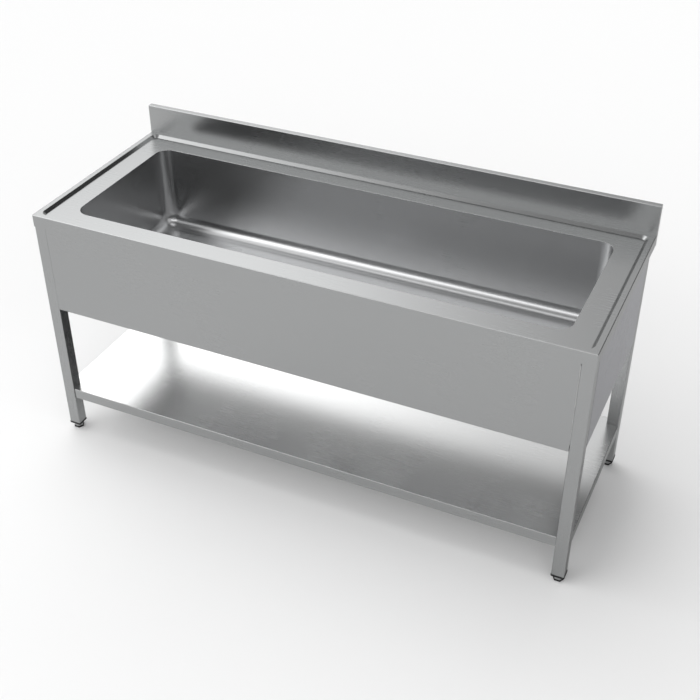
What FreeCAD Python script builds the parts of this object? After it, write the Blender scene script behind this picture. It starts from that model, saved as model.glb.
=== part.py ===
import FreeCAD, Part
import math
import os

# Stainless steel sink table: one long bowl in a recessed worktop with an upstand, apron
# panels round the bowl, four box legs on levelling feet, and a low shelf.
# Millimetres. +X is to the right, +Y to the rear (the wall), +Z up. The origin is on the
# floor, under the middle of the overall box.

# Overall size
length = 1800.0
depth = 700.0
worktop_height = 850.0

# Upstand along the rear edge
upstand_height = 100.0
upstand_thickness = 20.0
upstand_fold = 2.5

# Worktop sheet, with a raised rim round a recessed deck
worktop_sheet = 1.5
worktop_fold = 2.5
worktop_corner = 3.5
flange_drop = 40.0
rim_side = 18.0
rim_front = 18.0
rim_rear = 10.0
rim_slope = 10.0
recess_depth = 9.0
recess_corner = 12.0
opening_edge_round = 0.8

# Bowl
bowl_depth = 300.0
bowl_side_margin = 100.0
bowl_front_margin = 84.0
bowl_rear_margin = 84.0
bowl_corner = 45.0
bowl_floor_round = 38.0
bowl_sheet = 1.2
bowl_lip = 15.0

# Legs
leg_width = 40.0
leg_wall = 1.5
leg_corner = 3.0
flange_gap = 0.5
rear_leg_setback = 72.0
leg_plate_thickness = 3.0
leg_plate_overhang = 20.0

# Apron panels between the legs
apron_sheet = 1.5
apron_fold = 2.5
apron_below_flange = 303.0
apron_end_gap = 0.5
apron_top_gap = 2.5
apron_return = 14.0
apron_foot_return = 20.0
apron_hem = 8.0

# Shelf
shelf_height = 177.0
shelf_sheet = 1.2
shelf_lip = 37.0
shelf_hem = 12.0
shelf_fold = 2.0
shelf_front_inset = 4.0
shelf_side_inset = 1.0
shelf_leg_gap = 0.3

# Stiffening channels (top-hat section)
hat_width = 30.0
hat_brim = 12.0
hat_height = 22.0
hat_sheet = 1.5
hat_gap = 5.0
shelf_hat_offset = 580.0

# Levelling feet
pad_height = 6.0
pad_across_flats = 31.0
pad_chamfer = 1.2
hex_height = 15.2
hex_across_flats = 29.0
hex_chamfer = 1.0
cap_gap = 0.3
cap_flange = 4.5
cap_proud = 1.4
cap_plug_depth = 22.0
cap_plug_gap = 0.3
foot_travel = 24.0
spindle_radius = 5.0
spindle_chamfer = 1.0
spindle_seat = 3.5
running_gap = 0.05

# Fasteners
bolt_radius = 3.0
bolt_hole_gap = 0.3
bolt_head_flats = 10.0
bolt_head_height = 4.0
bolt_length = 14.0
nut_height = 5.0
stud_length = 16.0
stud_shift = 10.0

# Waste outlet in the bowl floor
waste_hole_radius = 45.0
waste_flange_radius = 57.0
waste_flange_height = 2.0
waste_flange_edge = 0.8
waste_body_radius = 43.5
waste_wall = 1.5
waste_body_depth = 40.0
ledge_drop = 3.0
ledge_width = 3.5
ledge_thickness = 2.0
spigot_radius = 23.9
spigot_wall = 3.9
spigot_length = 28.0
gasket_height = 3.0
gasket_radius = 56.0
washer_height = 2.0
locknut_height = 10.0
locknut_radius = 54.0
locknut_lugs = 6
lug_length = 6.0
lug_width = 10.0

# Strainer plate that lifts out of the waste outlet
plate_gap = 0.4
plate_thickness = 1.2
plate_hole_radius = 2.5
plate_inner_radius = 12.0
plate_ring_step = 9.0
plate_rings = 3
plate_hole_count = 6
knob_neck_radius = 4.0
knob_neck_height = 6.0
knob_head_radius = 9.0
knob_head_height = 5.0
knob_round = 1.8

# Sound-deadening pads under the bowl floor
sound_pad_length = 420.0
sound_pad_width = 300.0
sound_pad_height = 3.0
sound_pad_corner = 12.0

# How far a cutting tool runs past the face it cuts
overcut = 1.0

# Places worked out from the sizes above
half_length = length / 2
front = -depth / 2
rear = depth / 2
upstand_face = rear - upstand_thickness
flange_bottom = worktop_height - flange_drop
deck_top = worktop_height - recess_depth
deck_under = deck_top - worktop_sheet

bowl_x = half_length - bowl_side_margin
bowl_front = front + bowl_front_margin
bowl_rear = upstand_face - bowl_rear_margin
bowl_floor = worktop_height - bowl_depth
bowl_under = bowl_floor - bowl_sheet
waste_y = (bowl_front + bowl_rear) / 2

leg_out_x = half_length - worktop_sheet - flange_gap
leg_in_x = leg_out_x - leg_width
leg_front_face = front + worktop_sheet + flange_gap
leg_rear_face = rear - rear_leg_setback
leg_bottom = pad_height + hex_height + cap_gap + cap_flange
leg_top = deck_under - leg_plate_thickness
front_leg_y = leg_front_face + leg_width / 2
rear_leg_y = leg_rear_face - leg_width / 2
leg_x = leg_out_x - leg_width / 2

apron_bottom = flange_bottom - apron_below_flange
apron_top = leg_top - apron_top_gap
apron_end_x = leg_in_x - apron_end_gap
plate_in_x = leg_in_x - leg_plate_overhang
plate_front_in = leg_front_face + leg_width + leg_plate_overhang
plate_rear_in = leg_rear_face - leg_width - leg_plate_overhang

shelf_x = leg_out_x - shelf_side_inset
shelf_front = leg_front_face + shelf_front_inset
shelf_rear = leg_rear_face - shelf_front_inset
shelf_under = shelf_height - shelf_sheet
notch_x = leg_in_x - shelf_leg_gap
notch_front = leg_front_face + leg_width + shelf_leg_gap
notch_rear = leg_rear_face - leg_width - shelf_leg_gap
shelf_bolt_z = shelf_height - shelf_lip / 2

CORNERS = {
    "front_left": (-1, front_leg_y, 1),
    "front_right": (1, front_leg_y, 1),
    "rear_left": (-1, rear_leg_y, -1),
    "rear_right": (1, rear_leg_y, -1),
}


def vec(x, y, z):
    return FreeCAD.Vector(x, y, z)


def box(x0, y0, z0, x1, y1, z1):
    """Block between two opposite corners."""
    return Part.makeBox(x1 - x0, y1 - y0, z1 - z0, vec(x0, y0, z0))


def cylinder(radius, x, y, z0, z1):
    """Upright cylinder."""
    return Part.makeCylinder(radius, z1 - z0, vec(x, y, z0))


def prism(points, z0, z1):
    """Upright solid on a closed outline of (x, y) points."""
    corners = [vec(x, y, z0) for x, y in points]
    outline = Part.makePolygon(corners + corners[:1])
    return Part.Face(outline).extrude(vec(0, 0, z1 - z0))


def rounded_wire(x0, y0, x1, y1, radius, z):
    """Rectangle with round corners, as a closed wire at height z."""
    bulge = radius * (1 - math.sqrt(0.5))
    edges = []
    for cx, cy, sx, sy in ((x1, y0, 1, -1), (x1, y1, 1, 1), (x0, y1, -1, 1), (x0, y0, -1, -1)):
        on_x_side = vec(cx, cy - sy * radius, z)
        on_y_side = vec(cx - sx * radius, cy, z)
        middle = vec(cx - sx * bulge, cy - sy * bulge, z)
        first, last = (on_y_side, on_x_side) if sx * sy < 0 else (on_x_side, on_y_side)
        if edges:
            edges.append(Part.LineSegment(edges[-1].lastVertex(True).Point, first).toShape())
        edges.append(Part.Arc(first, middle, last).toShape())
    end = edges[-1].lastVertex(True).Point
    edges.append(Part.LineSegment(end, edges[0].firstVertex(True).Point).toShape())
    return Part.Wire(edges)


def rounded_block(x0, y0, x1, y1, radius, z0, z1):
    """Upright block with round vertical corners."""
    face = Part.Face(rounded_wire(x0, y0, x1, y1, radius, z0))
    return face.extrude(vec(0, 0, z1 - z0))


def hexagon(across_flats, x, y, z0, z1):
    """Upright hexagon bar with one flat facing the front."""
    radius = across_flats / math.sqrt(3)
    corners = []
    for side in range(6):
        angle = math.radians(60 * side)
        corners.append((x + radius * math.cos(angle), y + radius * math.sin(angle)))
    return prism(corners, z0, z1)


def revolved(profile, x, y):
    """Solid of revolution about an upright axis, from closed (radius, z) points."""
    corners = [vec(x + r, y, z) for r, z in profile]
    face = Part.Face(Part.makePolygon(corners + corners[:1]))
    return face.revolve(vec(x, y, 0), vec(0, 0, 1), 360)


def is_level(edge, z):
    """True for an edge that lies wholly at height z."""
    limits = edge.BoundBox
    return abs(limits.ZMin - z) < 0.01 and abs(limits.ZMax - z) < 0.01


def runs_along(edge, axis):
    """True for a straight edge along the named axis."""
    size = edge.BoundBox
    spans = {"x": size.XLength, "y": size.YLength, "z": size.ZLength}
    others = [spans[name] for name in spans if name != axis]
    return spans[axis] > 0.1 and max(others) < 0.01


def sheet_section(path, thickness):
    """Outline of bent sheet: path is one face, the thickness lies on its left."""
    offset = []
    for index, point in enumerate(path):
        normals = []
        for start, end in ((index - 1, index), (index, index + 1)):
            if start >= 0 and end < len(path):
                run = (path[end][0] - path[start][0], path[end][1] - path[start][1])
                size = math.hypot(run[0], run[1])
                normals.append((-run[1] / size, run[0] / size))
        total = (sum(n[0] for n in normals), sum(n[1] for n in normals))
        scale = thickness * len(normals) / (total[0] ** 2 + total[1] ** 2)
        offset.append((point[0] + total[0] * scale, point[1] + total[1] * scale))
    return list(path) + offset[::-1]


def bent_sheet(path, thickness, fold, start, end, along):
    """Sheet bent to a path of (across, z) points and run along x or y, with round folds."""
    section = sheet_section(path, thickness)
    if along == "x":
        corners = [vec(start, a, z) for a, z in section]
        run = vec(end - start, 0, 0)
    else:
        corners = [vec(a, start, z) for a, z in section]
        run = vec(0, end - start, 0)
    solid = Part.Face(Part.makePolygon(corners + corners[:1])).extrude(run)
    if fold <= 0:
        return solid
    outside = []
    for bend in path[1:-1]:
        for edge in solid.Edges:
            middle = edge.CenterOfMass
            across = middle.y if along == "x" else middle.x
            near = math.hypot(across - bend[0], middle.z - bend[1]) < 0.01
            if runs_along(edge, along) and near:
                outside.append(edge)
    return solid.makeFillet(fold, outside)


def deck_recess(grow, drop):
    """Space above the recessed deck, with sloping sides and round corners."""
    inner = rim_slope - grow
    x = half_length - rim_side
    y0 = front + rim_front
    y1 = upstand_face - rim_rear
    wires = []
    for inset, radius, z in ((inner, recess_corner + grow, deck_top - drop),
                             (-grow, recess_corner + rim_slope + grow, worktop_height - drop)):
        wires.append(rounded_wire(-x + inset, y0 + inset, x - inset, y1 - inset, radius, z))
    slope = Part.makeLoft(wires, True, True)
    mouth = rounded_block(-x - grow, y0 - grow, x + grow, y1 + grow,
                          recess_corner + rim_slope + grow, worktop_height - drop,
                          worktop_height + recess_depth)
    return slope.fuse(mouth)


def folded_lid(inset):
    """Block under the worktop surface with its front corners and its folds rounded."""
    x = half_length - inset
    y0 = front + inset
    y1 = rear - worktop_sheet - flange_gap
    top = worktop_height - inset
    lid = box(-x, y0, flange_bottom, x, y1, top)
    corners = [edge for edge in lid.Edges
               if runs_along(edge, "z") and abs(edge.CenterOfMass.y - y0) < 0.01]
    lid = lid.makeFillet(worktop_corner - inset, corners)
    folds = [edge for edge in lid.Edges
             if is_level(edge, top) and abs(edge.CenterOfMass.y - y1) > 0.01]
    return lid.makeFillet(worktop_fold - inset, folds)


def worktop():
    """Pressed worktop: raised rim, sloped step, recessed deck and turned-down flanges."""
    slope_angle = math.atan2(recess_depth, rim_slope)
    grow = worktop_sheet * math.tan(slope_angle / 2)
    outside = folded_lid(0).cut(deck_recess(0, 0))
    inside = folded_lid(worktop_sheet).cut(deck_recess(grow, worktop_sheet))
    opening = rounded_block(-bowl_x, bowl_front, bowl_x, bowl_rear, bowl_corner,
                            flange_bottom, worktop_height)
    sheet = outside.cut(inside).cut(opening)
    rim = [edge for edge in sheet.Edges if is_level(edge, deck_top) and inside_bowl(edge)]
    return sheet.makeFillet(opening_edge_round, rim)


def inside_bowl(edge):
    """True for an edge on the outline of the bowl opening."""
    limits = edge.BoundBox
    in_x = limits.XMin > -bowl_x - 0.1 and limits.XMax < bowl_x + 0.1
    in_y = limits.YMin > bowl_front - 0.1 and limits.YMax < bowl_rear + 0.1
    return in_x and in_y


def splashback():
    """Folded upstand, open below, whose rear wall comes down behind the worktop."""
    outside = box(-half_length, upstand_face, worktop_height,
                  half_length, rear, worktop_height + upstand_height)
    crown = worktop_height + upstand_height
    folds = [e for e in outside.Edges if is_level(e, crown) and runs_along(e, "x")]
    outside = outside.makeFillet(upstand_fold, folds)
    hollow = box(-half_length, upstand_face + worktop_sheet, worktop_height,
                 half_length, rear - worktop_sheet, crown - worktop_sheet)
    skirt = box(-half_length, rear - worktop_sheet, flange_bottom,
                half_length, rear, worktop_height)
    return outside.cut(hollow).fuse(skirt).removeSplitter()


def splashback_end(side):
    """Plate that closes one end of the upstand."""
    outer_x = side * half_length
    inner_x = side * (half_length - worktop_sheet)
    return box(min(outer_x, inner_x), upstand_face + worktop_sheet, worktop_height,
               max(outer_x, inner_x), rear - worktop_sheet,
               worktop_height + upstand_height - worktop_sheet)


def bowl_form(grow, top):
    """Bowl shape with round corners and a round floor edge, grown outwards."""
    bottom = bowl_floor - grow
    form = rounded_block(-bowl_x - grow, bowl_front - grow, bowl_x + grow, bowl_rear + grow,
                         bowl_corner + grow, bottom, top)
    floor_edges = [edge for edge in form.Edges if is_level(edge, bottom)]
    return form.makeFillet(bowl_floor_round + grow, floor_edges)


def bowl():
    """Deep-drawn bowl with a lip that is welded under the deck."""
    lip = rounded_block(-bowl_x - bowl_sheet - bowl_lip, bowl_front - bowl_sheet - bowl_lip,
                        bowl_x + bowl_sheet + bowl_lip, bowl_rear + bowl_sheet + bowl_lip,
                        bowl_corner + bowl_sheet + bowl_lip,
                        deck_under - bowl_sheet, deck_under)
    shell = bowl_form(bowl_sheet, deck_under).fuse(lip).cut(bowl_form(0, worktop_height))
    hole = cylinder(waste_hole_radius, 0, waste_y, bowl_under - bowl_sheet, bowl_floor + bowl_sheet)
    return shell.cut(hole)


def apron_path(face, inward):
    """Section of an apron panel: top return, face, foot return and hem."""
    return [
        (face + inward * apron_return, apron_top),
        (face, apron_top),
        (face, apron_bottom),
        (face + inward * apron_foot_return, apron_bottom),
        (face + inward * apron_foot_return, apron_bottom + apron_hem),
    ]


def front_apron():
    """Front panel between the legs."""
    path = apron_path(leg_front_face, 1)
    return bent_sheet(path, apron_sheet, apron_fold, -apron_end_x, apron_end_x, "x")


def rear_apron():
    """Rear panel between the rear legs: top return to the wall, foot return to the bowl."""
    inner = leg_rear_face - apron_sheet
    foot_top = apron_bottom + apron_sheet
    path = [
        (leg_rear_face + apron_return, apron_top),
        (inner, apron_top),
        (inner, foot_top),
        (leg_rear_face - apron_foot_return, foot_top),
    ]
    return bent_sheet(path, apron_sheet, 0, -apron_end_x, apron_end_x, "x")


def side_apron(side):
    """Side panel between a front and a rear leg."""
    start = leg_front_face + leg_width + apron_end_gap
    end = leg_rear_face - leg_width - apron_end_gap
    path = apron_path(side * leg_out_x, -side)
    return bent_sheet(path, -side * apron_sheet, apron_fold, start, end, "y")


def hat_path(middle, top):
    """Section of a top-hat channel whose brims lie against the sheet above it."""
    wall = hat_width / 2 - hat_brim
    return [
        (middle - hat_width / 2, top),
        (middle - wall, top),
        (middle - wall, top - hat_height),
        (middle + wall, top - hat_height),
        (middle + wall, top),
        (middle + hat_width / 2, top),
    ]


def deck_stiffener(side):
    """Channel under the deck beside the bowl, from front to rear leg plate."""
    middle = side * (bowl_x + bowl_sheet + bowl_lip + hat_gap + hat_width / 2)
    start = plate_front_in + hat_gap
    end = plate_rear_in - hat_gap
    return bent_sheet(hat_path(middle, deck_under), -hat_sheet, 0, start, end, "y")


def leg_bolt_points(side, y, inward):
    """Middles of the two shelf bolts in a leg: on its inner side and on its inner end."""
    return ((side * leg_in_x, y), (side * leg_x, y + inward * leg_width / 2))


def leg(side, y, inward):
    """Square tube with round corners and two holes for the shelf bolts."""
    x = side * leg_x
    half = leg_width / 2
    bore = half - leg_wall
    tube = rounded_block(x - half, y - half, x + half, y + half, leg_corner, leg_bottom, leg_top)
    tube = tube.cut(rounded_block(x - bore, y - bore, x + bore, y + bore, leg_corner - leg_wall,
                                  leg_bottom, leg_top))
    radius = bolt_radius + bolt_hole_gap
    reach = 2 * leg_wall
    across = Part.makeCylinder(radius, 2 * reach, vec(side * leg_in_x - reach, y, shelf_bolt_z),
                               vec(1, 0, 0))
    along = Part.makeCylinder(radius, 2 * reach,
                              vec(x, y + inward * half - reach, shelf_bolt_z), vec(0, 1, 0))
    return tube.cut(across).cut(along)


def stud_points(side, y, inward):
    """Places of the two studs that hold a leg plate to the deck."""
    inner = leg_in_x - leg_plate_overhang / 2
    return (
        (side * inner, y + inward * stud_shift),
        (side * (leg_x - stud_shift), y + inward * (leg_width + leg_plate_overhang) / 2),
    )


def leg_plate(side, y, inward):
    """Plate on top of a leg, bolted up against the deck."""
    outer_y = y - inward * leg_width / 2
    inner_y = y + inward * (leg_width / 2 + leg_plate_overhang)
    x0, x1 = sorted((side * leg_out_x, side * plate_in_x))
    y0, y1 = sorted((outer_y, inner_y))
    plate = rounded_block(x0, y0, x1, y1, leg_corner, leg_top, deck_under)
    for hole_x, hole_y in stud_points(side, y, inward):
        plate = plate.cut(cylinder(bolt_radius + bolt_hole_gap, hole_x, hole_y,
                                   leg_top - overcut, deck_under + overcut))
    return plate


def deck_studs():
    """Weld studs under the deck, two to each leg plate."""
    studs = []
    for side, y, inward in CORNERS.values():
        for x, stud_y in stud_points(side, y, inward):
            studs.append(cylinder(bolt_radius, x, stud_y, deck_under - stud_length, deck_under))
    return Part.makeCompound(studs)


def deck_nuts():
    """Hexagon nuts on the deck studs."""
    nuts = []
    for side, y, inward in CORNERS.values():
        for x, nut_y in stud_points(side, y, inward):
            nut = hexagon(bolt_head_flats, x, nut_y, leg_top - nut_height, leg_top)
            nuts.append(nut.cut(cylinder(bolt_radius + running_gap, x, nut_y,
                                         leg_top - nut_height - overcut, leg_top + overcut)))
    return Part.makeCompound(nuts)


def leg_cap(side, y):
    """Plastic insert in the foot of a leg, bored for the levelling spindle."""
    x = side * leg_x
    half = leg_width / 2 + cap_proud
    plug = leg_width / 2 - leg_wall - cap_plug_gap
    base = leg_bottom - cap_flange
    flange = rounded_block(x - half, y - half, x + half, y + half, leg_corner + cap_proud,
                           base, leg_bottom)
    insert = rounded_block(x - plug, y - plug, x + plug, y + plug,
                           leg_corner - leg_wall, leg_bottom, leg_bottom + cap_plug_depth)
    bore = cylinder(spindle_radius + running_gap, x, y, base - overcut,
                    leg_bottom + cap_plug_depth + overcut)
    return flange.fuse(insert).cut(bore)


def foot_pad(side, y):
    """Black pad that a levelling foot stands on."""
    x = side * leg_x
    pad = hexagon(pad_across_flats, x, y, 0, pad_height)
    pad = pad.makeChamfer(pad_chamfer, [edge for edge in pad.Edges if is_level(edge, 0)])
    socket_floor = pad_height - spindle_seat - running_gap
    return pad.cut(cylinder(spindle_radius + running_gap, x, y, socket_floor,
                            pad_height + overcut))


def foot_hex(side, y):
    """Hexagon that is turned to set the height of a leg."""
    x = side * leg_x
    top = pad_height + hex_height
    body = hexagon(hex_across_flats, x, y, pad_height, top)
    body = body.makeChamfer(hex_chamfer, [edge for edge in body.Edges if is_level(edge, top)])
    return body.cut(cylinder(spindle_radius + running_gap, x, y, pad_height - overcut,
                             top + overcut))


def foot_spindle(side, y):
    """Threaded rod of a levelling foot, from the pad's socket up into the leg."""
    x = side * leg_x
    top = leg_bottom + cap_plug_depth + foot_travel
    rod = cylinder(spindle_radius, x, y, pad_height - spindle_seat, top)
    return rod.makeChamfer(spindle_chamfer, [e for e in rod.Edges if is_level(e, top)])


def shelf_outline(inset):
    """Shelf outline, notched round the four legs, drawn in from its edges by inset."""
    x = shelf_x - inset
    y0 = shelf_front + inset
    y1 = shelf_rear - inset
    nx = notch_x - inset
    n0 = notch_front + inset
    n1 = notch_rear - inset
    right = [(nx, y0), (nx, n0), (x, n0), (x, n1), (nx, n1), (nx, y1)]
    left = [(-px, py) for px, py in reversed(right)]
    return right + left


def shelf():
    """Shelf tray with edges turned down and hemmed, and notched round the legs."""
    bottom = shelf_height - shelf_lip
    tray = prism(shelf_outline(0), bottom, shelf_height)
    long_folds = []
    for edge in tray.Edges:
        middle = edge.CenterOfMass
        at_end = abs(middle.y - shelf_front) < 0.01 or abs(middle.y - shelf_rear) < 0.01
        at_side = abs(abs(middle.x) - shelf_x) < 0.01
        if is_level(edge, shelf_height) and (at_end or at_side):
            long_folds.append(edge)
    tray = tray.makeFillet(shelf_fold, long_folds)
    tray = tray.cut(prism(shelf_outline(shelf_sheet), bottom + shelf_sheet, shelf_under))
    tray = tray.cut(prism(shelf_outline(shelf_hem), bottom, bottom + shelf_sheet))
    radius = bolt_radius + bolt_hole_gap
    for side, y, inward in CORNERS.values():
        (x, across_y), (along_x, end_y) = leg_bolt_points(side, y, inward)
        reach = 2 * (shelf_sheet + shelf_leg_gap)
        tray = tray.cut(Part.makeCylinder(radius, 2 * reach, vec(x - reach, across_y, shelf_bolt_z),
                                          vec(1, 0, 0)))
        tray = tray.cut(Part.makeCylinder(radius, 2 * reach,
                                          vec(along_x, end_y - reach, shelf_bolt_z), vec(0, 1, 0)))
    return tray


def shelf_bolt(x, y, towards):
    """Hexagon bolt through the shelf's notch into a leg; towards points into the leg."""
    seat = shelf_leg_gap + shelf_sheet
    head = hexagon(bolt_head_flats, 0, 0, -seat - bolt_head_height, -seat)
    shank = cylinder(bolt_radius, 0, 0, -seat, bolt_length - seat)
    bolt = head.fuse(shank)
    turn = FreeCAD.Rotation(vec(0, 0, 1), vec(*towards))
    bolt.Placement = FreeCAD.Placement(vec(x, y, shelf_bolt_z), turn)
    return bolt


def shelf_bolts():
    """The bolts that hold the shelf to the legs, two to each leg."""
    bolts = []
    for side, y, inward in CORNERS.values():
        (x, across_y), (along_x, end_y) = leg_bolt_points(side, y, inward)
        bolts.append(shelf_bolt(x, across_y, (side, 0, 0)))
        bolts.append(shelf_bolt(along_x, end_y, (0, -inward, 0)))
    return Part.makeCompound(bolts)


def shelf_stiffener(middle):
    """Channel under the shelf, from its front edge to its rear edge."""
    start = shelf_front + shelf_hem + hat_gap
    end = shelf_rear - shelf_hem - hat_gap
    return bent_sheet(hat_path(middle, shelf_under), -hat_sheet, 0, start, end, "y")


def waste_body():
    """Waste outlet: flange on the bowl floor, body through the hole, and outlet spigot."""
    seat = bowl_floor
    lip_top = seat + waste_flange_height
    throat = waste_body_radius - waste_wall
    ledge_top = seat - ledge_drop
    ledge_under = ledge_top - ledge_thickness
    body_bottom = seat - waste_body_depth
    spigot_bottom = body_bottom - spigot_length
    spigot_bore = spigot_radius - spigot_wall
    profile = [
        (waste_flange_radius, seat),
        (waste_flange_radius, seat + waste_flange_edge),
        (waste_hole_radius, lip_top),
        (throat, lip_top),
        (throat, ledge_top),
        (throat - ledge_width, ledge_top),
        (throat - ledge_width, ledge_under),
        (throat, ledge_under),
        (throat, body_bottom + waste_wall),
        (spigot_bore, body_bottom + waste_wall),
        (spigot_bore, spigot_bottom),
        (spigot_radius, spigot_bottom),
        (spigot_radius, body_bottom),
        (waste_body_radius, body_bottom),
        (waste_body_radius, seat),
    ]
    return revolved(profile, 0, waste_y)


def ring(inner, outer, top, height):
    """Flat ring round the waste outlet, hanging down from top."""
    profile = [(inner, top - height), (outer, top - height), (outer, top), (inner, top)]
    return revolved(profile, 0, waste_y)


def waste_gasket():
    """Rubber gasket under the bowl floor."""
    return ring(waste_body_radius + running_gap, gasket_radius, bowl_under, gasket_height)


def waste_washer():
    """Slip washer between the gasket and the lock nut."""
    top = bowl_under - gasket_height
    return ring(waste_body_radius + running_gap, gasket_radius, top, washer_height)


def waste_locknut():
    """Ring nut with lugs that clamps the waste outlet to the bowl."""
    top = bowl_under - gasket_height - washer_height
    nut = ring(waste_body_radius + running_gap, locknut_radius, top, locknut_height)
    wall = locknut_radius - waste_body_radius
    for index in range(locknut_lugs):
        lug = box(locknut_radius - wall / 2, waste_y - lug_width / 2, top - locknut_height,
                  locknut_radius + lug_length, waste_y + lug_width / 2, top)
        lug.rotate(vec(0, waste_y, 0), vec(0, 0, 1), 360 * index / locknut_lugs)
        nut = nut.fuse(lug)
    return nut.removeSplitter()


def strainer_plate():
    """Round perforated plate that rests on the ledge in the waste outlet."""
    radius = waste_body_radius - waste_wall - plate_gap
    low = bowl_floor - ledge_drop
    plate = cylinder(radius, 0, waste_y, low, low + plate_thickness)
    holes = []
    for index in range(plate_rings):
        count = plate_hole_count * (index + 1)
        ring_radius = plate_inner_radius + index * plate_ring_step
        for place in range(count):
            angle = 2 * math.pi * place / count
            holes.append(cylinder(plate_hole_radius, ring_radius * math.cos(angle),
                                  waste_y + ring_radius * math.sin(angle), low - overcut,
                                  low + plate_thickness + overcut))
    return plate.cut(Part.makeCompound(holes))


def strainer_knob():
    """Knob in the middle of the strainer plate, to lift it by."""
    low = bowl_floor - ledge_drop + plate_thickness
    neck_top = low + knob_neck_height
    top = neck_top + knob_head_height
    neck = cylinder(knob_neck_radius, 0, waste_y, low, neck_top)
    head = cylinder(knob_head_radius, 0, waste_y, neck_top, top)
    rims = [edge for edge in head.Edges if is_level(edge, top) or is_level(edge, neck_top)]
    return neck.fuse(head.makeFillet(knob_round, rims)).removeSplitter()


def sound_pad(side):
    """Sound-deadening pad glued under the bowl floor."""
    x = side * bowl_x / 2
    half = sound_pad_length / 2
    return rounded_block(x - half, waste_y - sound_pad_width / 2, x + half,
                         waste_y + sound_pad_width / 2, sound_pad_corner,
                         bowl_under - sound_pad_height, bowl_under)


def all_parts():
    """Every sub-part by the name of its node."""
    parts = {
        "worktop": worktop(),
        "splashback": splashback(),
        "bowl": bowl(),
        "front_apron": front_apron(),
        "rear_apron": rear_apron(),
        "deck_studs": deck_studs(),
        "deck_nuts": deck_nuts(),
        "shelf": shelf(),
        "shelf_bolts": shelf_bolts(),
        "waste_body": waste_body(),
        "waste_gasket": waste_gasket(),
        "waste_washer": waste_washer(),
        "waste_locknut": waste_locknut(),
        "strainer_plate": strainer_plate(),
        "strainer_knob": strainer_knob(),
    }
    for name, side in (("left", -1), ("right", 1)):
        parts["splashback_end_" + name] = splashback_end(side)
        parts[name + "_apron"] = side_apron(side)
        parts["deck_stiffener_" + name] = deck_stiffener(side)
        parts["sound_pad_" + name] = sound_pad(side)
    for name, place in (("left", -1), ("middle", 0), ("right", 1)):
        parts["shelf_stiffener_" + name] = shelf_stiffener(place * shelf_hat_offset)
    for name, (side, y, inward) in CORNERS.items():
        parts["leg_" + name] = leg(side, y, inward)
        parts["leg_plate_" + name] = leg_plate(side, y, inward)
        parts["leg_cap_" + name] = leg_cap(side, y)
        parts["foot_pad_" + name] = foot_pad(side, y)
        parts["foot_hex_" + name] = foot_hex(side, y)
        parts["foot_spindle_" + name] = foot_spindle(side, y)
    return parts


def main():
    os.makedirs("parts", exist_ok=True)
    for name, shape in all_parts().items():
        shape.exportStep("parts/" + name + ".step")
        print(name, "solids", len(shape.Solids), "volume", round(shape.Volume),
              "valid", shape.isValid())


main()
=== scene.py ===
"""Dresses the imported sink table: finishes on its sheet metal, cut threads, and a plain studio.

Lengths are in metres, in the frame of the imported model.
"""

import math

import bmesh
import bpy
from bpy.props import FloatProperty, FloatVectorProperty, PointerProperty
from bpy.types import Operator, Panel, PropertyGroup
from mathutils import Matrix, Vector


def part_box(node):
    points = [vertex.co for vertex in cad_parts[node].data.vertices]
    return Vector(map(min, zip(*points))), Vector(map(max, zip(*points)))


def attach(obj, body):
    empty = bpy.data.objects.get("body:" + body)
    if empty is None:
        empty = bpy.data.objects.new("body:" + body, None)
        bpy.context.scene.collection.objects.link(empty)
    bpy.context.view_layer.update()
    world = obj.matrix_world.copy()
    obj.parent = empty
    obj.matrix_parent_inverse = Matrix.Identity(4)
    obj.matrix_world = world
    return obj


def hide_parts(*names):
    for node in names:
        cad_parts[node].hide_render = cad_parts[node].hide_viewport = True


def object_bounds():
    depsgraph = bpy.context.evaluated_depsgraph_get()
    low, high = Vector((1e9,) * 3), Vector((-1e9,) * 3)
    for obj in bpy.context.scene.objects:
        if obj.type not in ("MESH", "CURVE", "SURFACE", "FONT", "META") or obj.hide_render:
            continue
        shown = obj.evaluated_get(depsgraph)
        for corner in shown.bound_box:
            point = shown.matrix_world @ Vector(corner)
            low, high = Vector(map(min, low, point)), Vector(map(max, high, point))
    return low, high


bl_info = {
    "name": "Sink table dressing",
    "version": (1, 0, 0),
    "blender": (4, 5, 0),
    "location": "3D View > Sidebar > Sink table",
    "description": "Steel finishes, threads and studio for a sink table",
    "category": "Object",
}

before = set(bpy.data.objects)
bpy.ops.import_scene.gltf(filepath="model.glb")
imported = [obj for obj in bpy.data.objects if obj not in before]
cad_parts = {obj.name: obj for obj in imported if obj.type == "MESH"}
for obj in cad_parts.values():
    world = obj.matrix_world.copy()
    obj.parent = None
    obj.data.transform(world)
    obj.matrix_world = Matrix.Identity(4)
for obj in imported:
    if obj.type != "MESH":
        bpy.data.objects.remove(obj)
CAD_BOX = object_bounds()

CORNERS = ("front_left", "front_right", "rear_left", "rear_right")
ENDS = ("left", "right")

# Thread of the feet: M10, its depth as a share of the pitch, and its steps in a turn
FOOT_THREAD_PITCH = 0.0015
THREAD_DEPTH_SHARE = 0.613
THREAD_STEPS = 28
ROD_CHAMFER_SHARE = 0.2

# Grain: how many streaks there are in a metre, along each axis of the frame
GRAIN_ALONG_X = (14.0, 1500.0, 1500.0)
GRAIN_ALONG_Y = (1500.0, 14.0, 1500.0)
GRAIN_ALONG_Z = (1500.0, 1500.0, 14.0)
GRAIN_EVEN = (700.0, 700.0, 700.0)

# How far the grain and the smudges change the roughness, and the grain the colour
GRAIN_ROUGHNESS = 0.012
SMUDGE_ROUGHNESS = 0.006
SMUDGES_PER_METRE = 5.0
GRAIN_SHADE = (0.982, 1.014)

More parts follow.
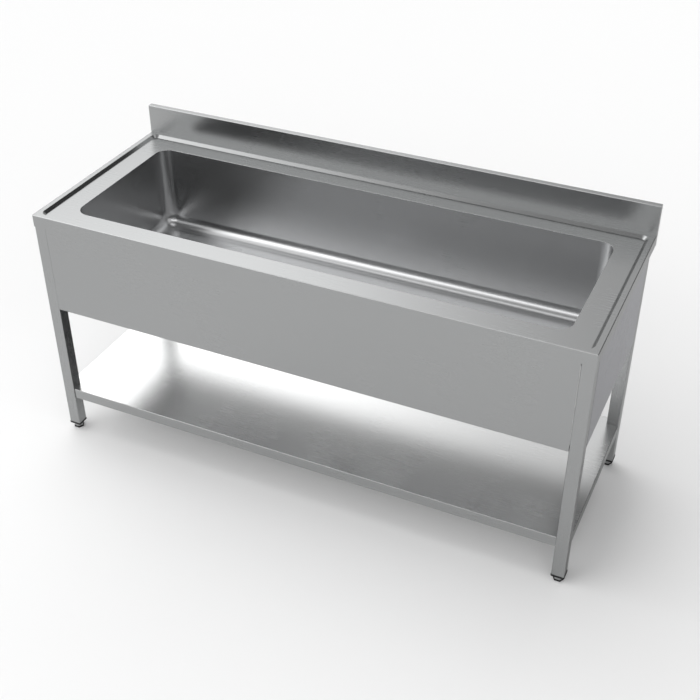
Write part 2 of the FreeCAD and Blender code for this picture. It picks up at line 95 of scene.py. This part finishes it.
# Roughness of the metals that have no setting of their own
MILL_ROUGHNESS = 0.38
ZINC_ROUGHNESS = 0.30
FOOT_ROUGHNESS = 0.22
POLISHED_ROUGHNESS = 0.12

# Rounds on cut and moulded edges, and the least angle that counts as an edge. The foot's
# is for the leg inserts, the hexagons and the pads
APRON_EDGE_ROUND = 0.0008
FOOT_EDGE_ROUND = 0.0004
FASTENER_EDGE_ROUND = 0.0003
STRAINER_EDGE_ROUND = 0.0002
GASKET_EDGE_ROUND = 0.0005
WASHER_EDGE_ROUND = 0.0003
LOCKNUT_EDGE_ROUND = 0.0006
EDGE_ANGLE = math.radians(40)

# Share of the usual grazing shine that the brushed sheet has
EDGE_SHARE = 0.6

# Upward share of a normal at which the painted light on the shelf's top starts and is full
LOOKS_UP = (0.9, 0.99)

# Moulded pieces: shine, how far the roughness strays, darkest and lightest share of the colour
MOULDED_SHINE = 0.3
MOULDED_SPREAD = 0.08
MOULDED_TONES = (0.8, 1.2)

# Patches of the sky. Each is a product of soft steps along the axes of a direction:
# the axis, where the patch starts and where it is full
SOFTBOX_PATCH = (("X", -0.16, -0.45), ("Z", 0.20, 0.58), ("Z", 0.88, 0.76), ("Y", -1.0, -0.5))
TOP_PATCH = (("Z", 0.82, 0.93), ("Y", -0.35, -0.1))
FRONT_PATCH = (("Y", -0.4, -0.7), ("Z", 0.05, 0.25), ("Z", 0.75, 0.6))
SHADE_PATCH = (("Y", 0.1, -0.25), ("Z", 0.6, 0.75), ("X", -0.5, -0.25))
GLOOM_PATCH = (("X", -0.12, 0.32), ("Y", -0.2, 0.3))

FLOOR_HALF_SIZE = 12.0

# Camera, solved from the photograph's corners
CAMERA_PLACE = (1.3127, -2.7656, 2.5425)
CAMERA_AZIMUTH = math.radians(24.847)
CAMERA_ELEVATION = math.radians(35.303)
CAMERA_ROLL = math.radians(-0.073)
CAMERA_LENS = 58.12
CAMERA_SENSOR = 36.0
CAMERA_REACH = 100.0


class SteelSettings(PropertyGroup):
    """Colour and roughness of the steel finishes; the side, bowl and shelf-top colours hold
    painted light.
    """

    satin_colour: FloatVectorProperty(
        name="Satin colour", description="Reflected colour of the brushed sheet",
        subtype="COLOR", size=3, min=0.0, max=1.0, default=(0.352, 0.357, 0.358))
    satin_roughness: FloatProperty(
        name="Satin roughness", description="Blur of reflections in the brushed sheet",
        subtype="FACTOR", min=0.0, max=1.0, default=0.27)
    # Painted reflection: the end aprons get a lighter, bluer copy of the satin colour for the
    # light they reflect
    side_painted_reflection_colour: FloatVectorProperty(
        name="Side colour", description="Reflected colour of the end aprons",
        subtype="COLOR", size=3, min=0.0, max=1.0, default=(0.365, 0.368, 0.395))
    # Painted light: the bowl gets a lighter copy of the satin colour, and the extra brightness
    # stands in for light
    bowl_painted_light_colour: FloatVectorProperty(
        name="Inner colour", description="Reflected colour of the bowl",
        subtype="COLOR", size=3, min=0.0, max=1.0, default=(0.50, 0.504, 0.509))
    # Painted light: the shelf's top gets this lighter colour for the light it reflects, while its
    # folds keep the satin colour
    shelf_top_painted_light_colour: FloatVectorProperty(
        name="Shelf colour", description="Reflected colour of the top of the shelf",
        subtype="COLOR", size=3, min=0.0, max=1.0, default=(0.66, 0.665, 0.665))
    bowl_roughness: FloatProperty(
        name="Bowl roughness", description="Blur of reflections in the drawn bowl",
        subtype="FACTOR", min=0.0, max=1.0, default=0.28)
    mill_colour: FloatVectorProperty(
        name="Mill colour", description="Reflected colour of the rear apron, channels and plates",
        subtype="COLOR", size=3, min=0.0, max=1.0, default=(0.60, 0.60, 0.605))
    grain_depth: FloatProperty(
        name="Grain depth", description="Depth of the brushed grain",
        unit="LENGTH", min=0.0, max=0.001, precision=6, default=0.0000012)


class FittingSettings(PropertyGroup):
    """Colours of the plastic, plated and polished fittings."""

    plastic_colour: FloatVectorProperty(
        name="Plastic colour", description="Black moulded leg inserts and pads",
        subtype="COLOR", size=3, min=0.0, max=1.0, default=(0.004, 0.004, 0.0045))
    zinc_colour: FloatVectorProperty(
        name="Zinc colour", description="Plating on screws and spindles",
        subtype="COLOR", size=3, min=0.0, max=1.0, default=(0.60, 0.61, 0.63))
    polished_colour: FloatVectorProperty(
        name="Polished colour", description="Polished waste outlet and strainer",
        subtype="COLOR", size=3, min=0.0, max=1.0, default=(0.62, 0.62, 0.63))


class StudioSettings(PropertyGroup):
    """Light and floor round the table."""

    floor_colour: FloatVectorProperty(
        name="Floor colour", description="Colour of the studio floor",
        subtype="COLOR", size=3, min=0.0, max=1.0, default=(0.83, 0.83, 0.83))
    even_light: FloatProperty(
        name="Even light", description="Brightness all round, apart from the rest",
        min=0.0, max=10.0, default=0.85)
    softbox: FloatProperty(
        name="Softbox", description="Brightness added high on the left",
        min=0.0, max=10.0, default=1.75)
    top_light: FloatProperty(
        name="Top light", description="Brightness added overhead",
        min=0.0, max=10.0, default=0.85)
    front_light: FloatProperty(
        name="Front light", description="Brightness added low in front",
        min=0.0, max=10.0, default=1.4)
    front_shade: FloatProperty(
        name="Front shade", description="Share of the even light taken away high in front",
        subtype="FACTOR", min=0.0, max=1.0, default=0.8)
    dark_side: FloatProperty(
        name="Dark side", description="Brightness at the back right",
        min=0.0, max=10.0, default=0.045)


def new_node(tree, kind, **sockets):
    """A shader node with some of its inputs set by name."""
    node = tree.nodes.new(kind)
    for name, value in sockets.items():
        node.inputs[name.replace("_", " ")].default_value = value
    return node


def soft_step(tree, source, start, end, low=0.0, high=1.0):
    """Output that goes smoothly from low to high as the source goes from start to end."""
    step = new_node(tree, "ShaderNodeMapRange", From_Min=start, From_Max=end,
                    To_Min=low, To_Max=high)
    step.interpolation_type = "SMOOTHSTEP"
    tree.links.new(source, step.inputs["Value"])
    return step.outputs["Result"]


def combine(tree, operation, *values):
    """Output of a chain of the same sum, product or difference over outputs and numbers."""
    total = values[0]
    for value in values[1:]:
        node = tree.nodes.new("ShaderNodeMath")
        node.operation = operation
        for socket, term in zip(node.inputs, (total, value)):
            if isinstance(term, float):
                socket.default_value = term
            else:
                tree.links.new(term, socket)
        total = node.outputs[0]
    return total


def grain_group():
    """Shader group: brushed grain and faint smudges, stretched by the Streaks vector."""
    name = "Brushed grain"
    if name in bpy.data.node_groups:
        return bpy.data.node_groups[name]
    group = bpy.data.node_groups.new(name, "ShaderNodeTree")
    face = group.interface
    face.new_socket("Streaks", in_out="INPUT", socket_type="NodeSocketVector")
    face.new_socket("Base Roughness", in_out="INPUT", socket_type="NodeSocketFloat")
    face.new_socket("Colour", in_out="INPUT", socket_type="NodeSocketColor")
    face.new_socket("Colour", in_out="OUTPUT", socket_type="NodeSocketColor")
    face.new_socket("Roughness", in_out="OUTPUT", socket_type="NodeSocketFloat")
    face.new_socket("Height", in_out="OUTPUT", socket_type="NodeSocketFloat")
    start = group.nodes.new("NodeGroupInput")
    end = group.nodes.new("NodeGroupOutput")
    place = group.nodes.new("ShaderNodeTexCoord")
    link = group.links.new

    stretch = group.nodes.new("ShaderNodeVectorMath")
    stretch.operation = "MULTIPLY"
    link(place.outputs["Object"], stretch.inputs[0])
    link(start.outputs["Streaks"], stretch.inputs[1])
    streaks = new_node(group, "ShaderNodeTexNoise", Scale=1.0, Detail=3.0, Roughness=0.6)
    link(stretch.outputs["Vector"], streaks.inputs["Vector"])

    smudges = new_node(group, "ShaderNodeTexNoise", Scale=SMUDGES_PER_METRE, Detail=3.0,
                       Roughness=0.5)
    link(place.outputs["Object"], smudges.inputs["Vector"])

    streak_rough = new_node(group, "ShaderNodeMapRange", To_Min=-GRAIN_ROUGHNESS,
                            To_Max=GRAIN_ROUGHNESS)
    link(streaks.outputs["Fac"], streak_rough.inputs["Value"])
    smudge_rough = new_node(group, "ShaderNodeMapRange", From_Min=0.3, From_Max=0.7,
                            To_Min=-SMUDGE_ROUGHNESS, To_Max=SMUDGE_ROUGHNESS)
    link(smudges.outputs["Fac"], smudge_rough.inputs["Value"])
    first = group.nodes.new("ShaderNodeMath")
    link(streak_rough.outputs["Result"], first.inputs[0])
    link(smudge_rough.outputs["Result"], first.inputs[1])
    total = group.nodes.new("ShaderNodeMath")
    link(first.outputs[0], total.inputs[0])
    link(start.outputs["Base Roughness"], total.inputs[1])
    link(total.outputs[0], end.inputs["Roughness"])

    shade = new_node(group, "ShaderNodeMapRange", From_Min=0.25, From_Max=0.75,
                     To_Min=GRAIN_SHADE[0], To_Max=GRAIN_SHADE[1])
    link(streaks.outputs["Fac"], shade.inputs["Value"])
    tint = group.nodes.new("ShaderNodeVectorMath")
    tint.operation = "SCALE"
    link(start.outputs["Colour"], tint.inputs[0])
    link(shade.outputs["Result"], tint.inputs["Scale"])
    link(tint.outputs["Vector"], end.inputs["Colour"])
    link(streaks.outputs["Fac"], end.inputs["Height"])
    return group


def brushed_metal(name, colour, roughness, streaks, depth):
    """Metal with a brushed grain that runs as the streaks vector says."""
    material = bpy.data.materials.new(name)
    material.use_nodes = True
    tree = material.node_tree
    shader = tree.nodes["Principled BSDF"]
    shader.inputs["Metallic"].default_value = 1.0
    shader.inputs["Specular Tint"].default_value = (*[EDGE_SHARE] * 3, 1.0)
    grain = tree.nodes.new("ShaderNodeGroup")
    grain.name = "Grain"
    grain.node_tree = grain_group()
    grain.inputs["Streaks"].default_value = streaks
    grain.inputs["Base Roughness"].default_value = roughness
    grain.inputs["Colour"].default_value = (*colour, 1.0)
    bump = new_node(tree, "ShaderNodeBump", Strength=1.0, Distance=depth)
    tree.links.new(grain.outputs["Colour"], shader.inputs["Base Color"])
    tree.links.new(grain.outputs["Roughness"], shader.inputs["Roughness"])
    tree.links.new(grain.outputs["Height"], bump.inputs["Height"])
    tree.links.new(bump.outputs["Normal"], shader.inputs["Normal"])
    return material


def paint_light_on_top(material, colour, colour_below):
    """Painted light: gives the faces of a brushed metal that look up a colour of their own, which
    stands in for the light they reflect.
    """
    tree = material.node_tree
    place = tree.nodes.new("ShaderNodeNewGeometry")
    axes = tree.nodes.new("ShaderNodeSeparateXYZ")
    tree.links.new(place.outputs["Normal"], axes.inputs["Vector"])
    tone = tree.nodes.new("ShaderNodeMix")
    tone.data_type = "RGBA"
    tone.inputs["A"].default_value = (*colour_below, 1.0)
    tone.inputs["B"].default_value = (*colour, 1.0)
    upward = soft_step(tree, axes.outputs["Z"], *LOOKS_UP)
    tree.links.new(upward, tone.inputs["Factor"])
    tree.links.new(tone.outputs["Result"], tree.nodes["Grain"].inputs["Colour"])
    return material


def moulded(name, colour, roughness, grain_scale, depth):
    """Moulded plastic or rubber with a fine even texture."""
    material = bpy.data.materials.new(name)
    material.use_nodes = True
    tree = material.node_tree
    shader = tree.nodes["Principled BSDF"]
    place = tree.nodes.new("ShaderNodeTexCoord")
    pits = new_node(tree, "ShaderNodeTexNoise", Scale=grain_scale, Detail=4.0)
    tree.links.new(place.outputs["Object"], pits.inputs["Vector"])
    shader.inputs["Specular IOR Level"].default_value = MOULDED_SHINE
    rough = new_node(tree, "ShaderNodeMapRange", To_Min=roughness - MOULDED_SPREAD,
                     To_Max=roughness + MOULDED_SPREAD)
    tree.links.new(pits.outputs["Fac"], rough.inputs["Value"])
    tree.links.new(rough.outputs["Result"], shader.inputs["Roughness"])
    tone = tree.nodes.new("ShaderNodeMix")
    tone.data_type = "RGBA"
    for socket, share in zip("AB", MOULDED_TONES):
        tone.inputs[socket].default_value = (*[min(1.0, c * share) for c in colour], 1.0)
    tree.links.new(pits.outputs["Fac"], tone.inputs["Factor"])
    tree.links.new(tone.outputs["Result"], shader.inputs["Base Color"])
    bump = new_node(tree, "ShaderNodeBump", Strength=0.6, Distance=depth)
    tree.links.new(pits.outputs["Fac"], bump.inputs["Height"])
    tree.links.new(bump.outputs["Normal"], shader.inputs["Normal"])
    return material


def finish_node(name, material, edge_round=0.0):
    """Gives a CAD node its finish, and its edges a small round."""
    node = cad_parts[name]
    if not node.data.materials:
        node.data.materials.append(material)
    for slot in node.material_slots:
        slot.material = material
    if edge_round > 0:
        bevel = node.modifiers.new("Edge round", "BEVEL")
        bevel.width = edge_round
        bevel.segments = 2
        bevel.limit_method = "ANGLE"
        bevel.angle_limit = EDGE_ANGLE
        bevel.harden_normals = True


def new_piece(name, mesh, material, body, slot, *nodes):
    """Adds a mesh that rides on a body and stands for the named CAD nodes."""
    for face in mesh.polygons:
        face.use_smooth = True
    mesh.materials.append(material)
    piece = bpy.data.objects.new(name, mesh)
    bpy.context.scene.collection.objects.link(piece)
    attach(piece, body)
    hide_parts(*nodes)
    return piece


def lathe(form, profile, x, y, steps):
    """Adds a surface of revolution about an upright axis, from (radius, z) points."""
    rings = []
    for step in range(steps):
        angle = 2 * math.pi * step / steps
        ring = [form.verts.new((x + r * math.cos(angle), y + r * math.sin(angle), z))
                for r, z in profile]
        rings.append(ring)
    for step, ring in enumerate(rings):
        after = rings[(step + 1) % steps]
        for index in range(len(profile) - 1):
            form.faces.new((ring[index], after[index], after[index + 1], ring[index + 1]))
    bottom = [ring[0] for ring in rings]
    top = [ring[-1] for ring in rings]
    form.faces.new(bottom[::-1])
    form.faces.new(top)


def thread(form, radius, pitch, x, y, low, high):
    """Adds a helical ridge round a core, from low to high."""
    depth = THREAD_DEPTH_SHARE * pitch
    # Section of the ridge: share of the pitch along the rod, and distance from its outside
    ridge = ((0.0, -depth), (0.12, -depth), (0.45, 0.0), (0.57, 0.0), (0.90, -depth),
             (1.0, -depth))
    turns = (high - low) / pitch - 1
    count = int(turns * THREAD_STEPS)
    rows = []
    for step in range(count + 1):
        angle = 2 * math.pi * step / THREAD_STEPS
        base = low + pitch * step / THREAD_STEPS
        row = []
        for share, out in ridge:
            r = radius + out
            row.append(form.verts.new((x + r * math.cos(angle), y + r * math.sin(angle),
                                       base + share * pitch)))
        rows.append(row)
    for row, after in zip(rows, rows[1:]):
        for index in range(len(ridge) - 1):
            form.faces.new((row[index], after[index], after[index + 1], row[index + 1]))


def threaded_rod(name, radius, pitch, x, y, low, high):
    """Mesh of a rod with chamfered ends and a cut thread."""
    form = bmesh.new()
    core = radius - THREAD_DEPTH_SHARE * pitch
    chamfer = radius * ROD_CHAMFER_SHARE
    profile = ((core - chamfer, low), (core, low + chamfer), (core, high - chamfer),
               (core - chamfer, high))
    lathe(form, profile, x, y, THREAD_STEPS)
    thread(form, radius, pitch, x, y, low + chamfer, high - chamfer)
    bmesh.ops.recalc_face_normals(form, faces=form.faces)
    mesh = bpy.data.meshes.new(name)
    form.to_mesh(mesh)
    form.free()
    return mesh


def materials():
    steel = bpy.context.scene.sink_steel
    fittings = bpy.context.scene.sink_fittings
    depth = steel.grain_depth
    satin = steel.satin_colour
    rough = steel.satin_roughness
    return {
        "lengthwise": brushed_metal("Satin steel lengthwise", satin, rough, GRAIN_ALONG_X, depth),
        "upright": brushed_metal("Satin steel upright", satin, rough, GRAIN_ALONG_Z, depth),
        # End aprons: a lighter, bluer copy of the satin colour, which is a painted reflection
        "crosswise": brushed_metal("Satin steel crosswise", steel.side_painted_reflection_colour, rough,
                                   GRAIN_ALONG_Y, depth),
        # Bowl: a lighter copy of the satin colour, which is painted light
        "bowl": brushed_metal("Bowl steel", steel.bowl_painted_light_colour, steel.bowl_roughness,
                              GRAIN_ALONG_X, depth),
        # Shelf: satin steel with painted light on the faces that look up
        "shelf": paint_light_on_top(
            brushed_metal("Shelf steel", satin, rough, GRAIN_ALONG_X, depth),
            steel.shelf_top_painted_light_colour, satin),
        "mill": brushed_metal("Mill steel", steel.mill_colour, MILL_ROUGHNESS,
                              GRAIN_ALONG_Y, depth),
        "zinc": brushed_metal("Zinc plate", fittings.zinc_colour, ZINC_ROUGHNESS,
                              GRAIN_EVEN, depth),
        "foot": brushed_metal("Turned steel", satin, FOOT_ROUGHNESS, GRAIN_ALONG_Z, depth),
        "polished": brushed_metal("Polished steel", fittings.polished_colour,
                                  POLISHED_ROUGHNESS, GRAIN_EVEN, depth / 4),
        "plastic": moulded("Black plastic", fittings.plastic_colour,
                           roughness=0.45, grain_scale=900.0, depth=0.00002),
        "nut": moulded("Ring nut plastic", (0.03, 0.03, 0.033),
                       roughness=0.5, grain_scale=700.0, depth=0.00003),
        "washer": moulded("Slip washer plastic", (0.75, 0.75, 0.72),
                          roughness=0.4, grain_scale=500.0, depth=0.00001),
        "rubber": moulded("Gasket rubber", (0.02, 0.02, 0.02),
                          roughness=0.75, grain_scale=800.0, depth=0.00004),
        "damping": moulded("Damping sheet", (0.52, 0.52, 0.53),
                           roughness=0.7, grain_scale=300.0, depth=0.0002),
    }


FINISHES = {}


def finish(name):
    """One of the finishes, which are made the first time that one is asked for."""
    if not FINISHES:
        FINISHES.update(materials())
    return FINISHES[name]


class SINK_OT_worktop(Operator):
    """Finish the worktop, the upstand and its end plates"""

    bl_idname = "sink.worktop"
    bl_label = "Worktop and upstand"

    def execute(self, context):
        finish_node("worktop", finish("lengthwise"))
        finish_node("splashback", finish("lengthwise"))
        for end in ENDS:
            finish_node("splashback_end_" + end, finish("upright"))
        return {"FINISHED"}


class SINK_OT_bowl(Operator):
    """Finish the bowl and the sound-deadening sheets under it"""

    bl_idname = "sink.bowl"
    bl_label = "Bowl"

    def execute(self, context):
        finish_node("bowl", finish("bowl"))
        for end in ENDS:
            finish_node("sound_pad_" + end, finish("damping"))
        return {"FINISHED"}


class SINK_OT_aprons(Operator):
    """Finish the apron panels"""

    bl_idname = "sink.aprons"
    bl_label = "Aprons"

    def execute(self, context):
        finish_node("front_apron", finish("lengthwise"), APRON_EDGE_ROUND)
        finish_node("rear_apron", finish("mill"), APRON_EDGE_ROUND)
        for end in ENDS:
            finish_node(end + "_apron", finish("crosswise"))
        return {"FINISHED"}


class SINK_OT_legs(Operator):
    """Finish the legs, their plates and their plastic inserts"""

    bl_idname = "sink.legs"
    bl_label = "Legs"

    def execute(self, context):
        for corner in CORNERS:
            finish_node("leg_" + corner, finish("upright"))
            finish_node("leg_plate_" + corner, finish("mill"))
            finish_node("leg_cap_" + corner, finish("plastic"), FOOT_EDGE_ROUND)
        return {"FINISHED"}


class SINK_OT_shelf(Operator):
    """Finish the shelf and the stiffening channels"""

    bl_idname = "sink.shelf"
    bl_label = "Shelf and channels"

    def execute(self, context):
        finish_node("shelf", finish("shelf"))
        for end in ENDS:
            finish_node("deck_stiffener_" + end, finish("mill"))
        for place in ("left", "middle", "right"):
            finish_node("shelf_stiffener_" + place, finish("mill"))
        return {"FINISHED"}


class SINK_OT_fasteners(Operator):
    """Finish the studs, nuts and bolts"""

    bl_idname = "sink.fasteners"
    bl_label = "Fasteners"

    def execute(self, context):
        for name in ("deck_studs", "deck_nuts", "shelf_bolts"):
            finish_node(name, finish("zinc"), FASTENER_EDGE_ROUND)
        return {"FINISHED"}


class SINK_OT_feet(Operator):
    """Cut the threads of the feet, and finish their hexagons and pads"""

    bl_idname = "sink.feet"
    bl_label = "Levelling feet"

    def execute(self, context):
        for corner in CORNERS:
            finish_node("foot_hex_" + corner, finish("foot"), FOOT_EDGE_ROUND)
            finish_node("foot_pad_" + corner, finish("plastic"), FOOT_EDGE_ROUND)
            low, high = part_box("foot_spindle_" + corner)
            middle = (low + high) / 2
            radius = (high.x - low.x) / 2
            mesh = threaded_rod("spindle_thread_" + corner, radius, FOOT_THREAD_PITCH,
                                middle.x, middle.y, low.z, high.z)
            new_piece("threaded_spindle_" + corner, mesh, finish("zinc"),
                      "screw_" + corner, "zinc_steel", "foot_spindle_" + corner)
        return {"FINISHED"}


class SINK_OT_waste(Operator):
    """Finish the waste outlet, its seals and nut, and the strainer"""

    bl_idname = "sink.waste"
    bl_label = "Waste and strainer"

    def execute(self, context):
        finish_node("waste_body", finish("polished"))
        finish_node("strainer_plate", finish("polished"), STRAINER_EDGE_ROUND)
        finish_node("strainer_knob", finish("polished"))
        finish_node("waste_gasket", finish("rubber"), GASKET_EDGE_ROUND)
        finish_node("waste_washer", finish("washer"), WASHER_EDGE_ROUND)
        finish_node("waste_locknut", finish("nut"), LOCKNUT_EDGE_ROUND)
        return {"FINISHED"}


def sky_patch(tree, axes, edges, *strength):
    """Share of a patch of the sky, times its strength if one is given."""
    steps = [soft_step(tree, axes.outputs[axis], start, full) for axis, start, full in edges]
    return combine(tree, "MULTIPLY", *steps, *strength)


def studio_sky(settings):
    """Even light with brighter patches at the left, above and in front, and a dark side."""
    world = bpy.data.worlds.new("Studio")
    bpy.context.scene.world = world
    world.use_nodes = True
    tree = world.node_tree
    place = tree.nodes.new("ShaderNodeTexCoord")
    axes = tree.nodes.new("ShaderNodeSeparateXYZ")
    tree.links.new(place.outputs["Generated"], axes.inputs["Vector"])
    softbox = sky_patch(tree, axes, SOFTBOX_PATCH, settings.softbox)
    top = sky_patch(tree, axes, TOP_PATCH, settings.top_light)
    front = sky_patch(tree, axes, FRONT_PATCH, settings.front_light)
    shade = sky_patch(tree, axes, SHADE_PATCH, settings.front_shade)
    gloom = sky_patch(tree, axes, GLOOM_PATCH)
    level = soft_step(tree, gloom, 0.0, 1.0, settings.even_light, settings.dark_side)
    even = combine(tree, "MULTIPLY", level, combine(tree, "SUBTRACT", 1.0, shade))
    background = tree.nodes["Background"]
    background.inputs["Color"].default_value = (1.0, 1.0, 1.0, 1.0)
    tree.links.new(combine(tree, "ADD", softbox, top, front, even), background.inputs["Strength"])


def studio_floor(settings):
    """Plain floor that the table stands on."""
    form = bmesh.new()
    bmesh.ops.create_grid(form, x_segments=1, y_segments=1, size=FLOOR_HALF_SIZE)
    mesh = bpy.data.meshes.new("studio_floor")
    form.to_mesh(mesh)
    form.free()
    floor = bpy.data.objects.new("studio_floor", mesh)
    floor.location.z = CAD_BOX[0].z
    bpy.context.scene.collection.objects.link(floor)
    material = bpy.data.materials.new("Studio floor")
    material.use_nodes = True
    shader = material.node_tree.nodes["Principled BSDF"]
    shader.inputs["Base Color"].default_value = (*settings.floor_colour, 1.0)
    shader.inputs["Roughness"].default_value = 1.0
    shader.inputs["Specular IOR Level"].default_value = 0.0
    mesh.materials.append(material)


def studio_camera():
    """Camera at the photograph's place and angle."""
    data = bpy.data.cameras.new("Camera")
    data.lens = CAMERA_LENS
    data.sensor_width = CAMERA_SENSOR
    data.clip_end = CAMERA_REACH
    camera = bpy.data.objects.new("Camera", data)
    turn = (Matrix.Rotation(CAMERA_AZIMUTH, 4, "Z")
            @ Matrix.Rotation(math.pi / 2 - CAMERA_ELEVATION, 4, "X")
            @ Matrix.Rotation(CAMERA_ROLL, 4, "Z"))
    camera.matrix_world = Matrix.Translation(Vector(CAMERA_PLACE)) @ turn
    bpy.context.scene.collection.objects.link(camera)
    bpy.context.scene.camera = camera


class SINK_OT_studio(Operator):
    """Set up the floor, the light and the camera"""

    bl_idname = "sink.studio"
    bl_label = "Studio"

    def execute(self, context):
        settings = context.scene.sink_studio
        studio_sky(settings)
        studio_floor(settings)
        studio_camera()
        context.scene.view_settings.view_transform = "Standard"
        return {"FINISHED"}


class SINK_PT_panel(Panel):
    """Lists the settings and the pieces in the sidebar"""

    bl_idname = "SINK_PT_panel"
    bl_label = "Sink table"
    bl_space_type = "VIEW_3D"
    bl_region_type = "UI"
    bl_category = "Sink table"

    def draw(self, context):
        layout = self.layout
        for group in SETTINGS:
            settings = getattr(context.scene, group)
            for key in settings.__annotations__:
                layout.prop(settings, key)
        for operator in OPERATORS:
            layout.operator(operator.bl_idname)


OPERATORS = (
    SINK_OT_studio,
    SINK_OT_worktop,
    SINK_OT_bowl,
    SINK_OT_aprons,
    SINK_OT_legs,
    SINK_OT_shelf,
    SINK_OT_fasteners,
    SINK_OT_feet,
    SINK_OT_waste,
)

SETTINGS = {
    "sink_steel": SteelSettings,
    "sink_fittings": FittingSettings,
    "sink_studio": StudioSettings,
}


def register():
    for group in SETTINGS.values():
        bpy.utils.register_class(group)
    for name, group in SETTINGS.items():
        setattr(bpy.types.Scene, name, PointerProperty(type=group))
    for operator in OPERATORS:
        bpy.utils.register_class(operator)
    bpy.utils.register_class(SINK_PT_panel)


def unregister():
    bpy.utils.unregister_class(SINK_PT_panel)
    for operator in reversed(OPERATORS):
        bpy.utils.unregister_class(operator)
    for name in SETTINGS:
        delattr(bpy.types.Scene, name)
    for group in SETTINGS.values():
        bpy.utils.unregister_class(group)


def main():
    """Dresses the whole table."""
    register()
    bpy.ops.sink.studio()
    bpy.ops.sink.worktop()
    bpy.ops.sink.bowl()
    bpy.ops.sink.aprons()
    bpy.ops.sink.legs()
    bpy.ops.sink.shelf()
    bpy.ops.sink.fasteners()
    bpy.ops.sink.feet()
    bpy.ops.sink.waste()


if __name__ == "__main__":
    main()
